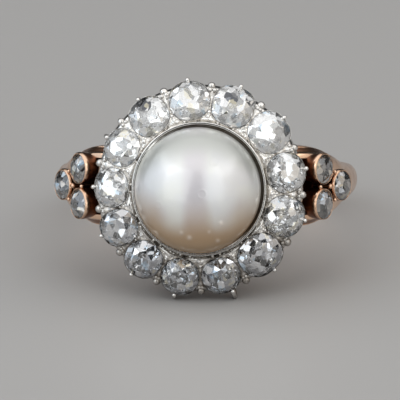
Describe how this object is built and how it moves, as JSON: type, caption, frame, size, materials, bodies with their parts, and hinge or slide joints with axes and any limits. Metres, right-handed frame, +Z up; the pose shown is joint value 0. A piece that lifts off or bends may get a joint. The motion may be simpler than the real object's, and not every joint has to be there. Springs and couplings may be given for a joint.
{
  "type": "pearl and diamond cluster ring",
  "caption": "Finger ring with a button pearl in a plain collet, a border of old-cut diamonds in silver, and a rose gold band with a trefoil of small diamonds on each shoulder.",
  "frame": {"origin": "middle of the laid ring's box, on the surface that it rests on", "axes": "the ring lies on its side as it would by itself; its head faces -Y and a little upwards, +X is to the right and +Z is up; the finger's axis leans from +Z towards +Y"},
  "size_m": [0.019, 0.0246, 0.0132],
  "materials": {
    "rose_gold": "worn polish",
    "silver": "worn polish, darker in the hollows",
    "pearl": "nacre",
    "diamond": "faceted and polished"
  },
  "bodies": {
    "root": {"shank": "rose_gold", "cluster_setting": "silver", "pearl_cup": "silver", "pearl": "pearl", "diamond_01": "diamond", "diamond_02": "diamond", "diamond_03": "diamond", "diamond_04": "diamond", "diamond_05": "diamond", "diamond_06": "diamond", "diamond_07": "diamond", "diamond_08": "diamond", "diamond_09": "diamond", "diamond_10": "diamond", "diamond_11": "diamond", "diamond_12": "diamond", "diamond_13": "diamond", "shoulder_diamond_left_1": "diamond", "shoulder_diamond_left_2": "diamond", "shoulder_diamond_left_3": "diamond", "shoulder_diamond_right_1": "diamond", "shoulder_diamond_right_2": "diamond", "shoulder_diamond_right_3": "diamond"}
  },
  "joints": []
}
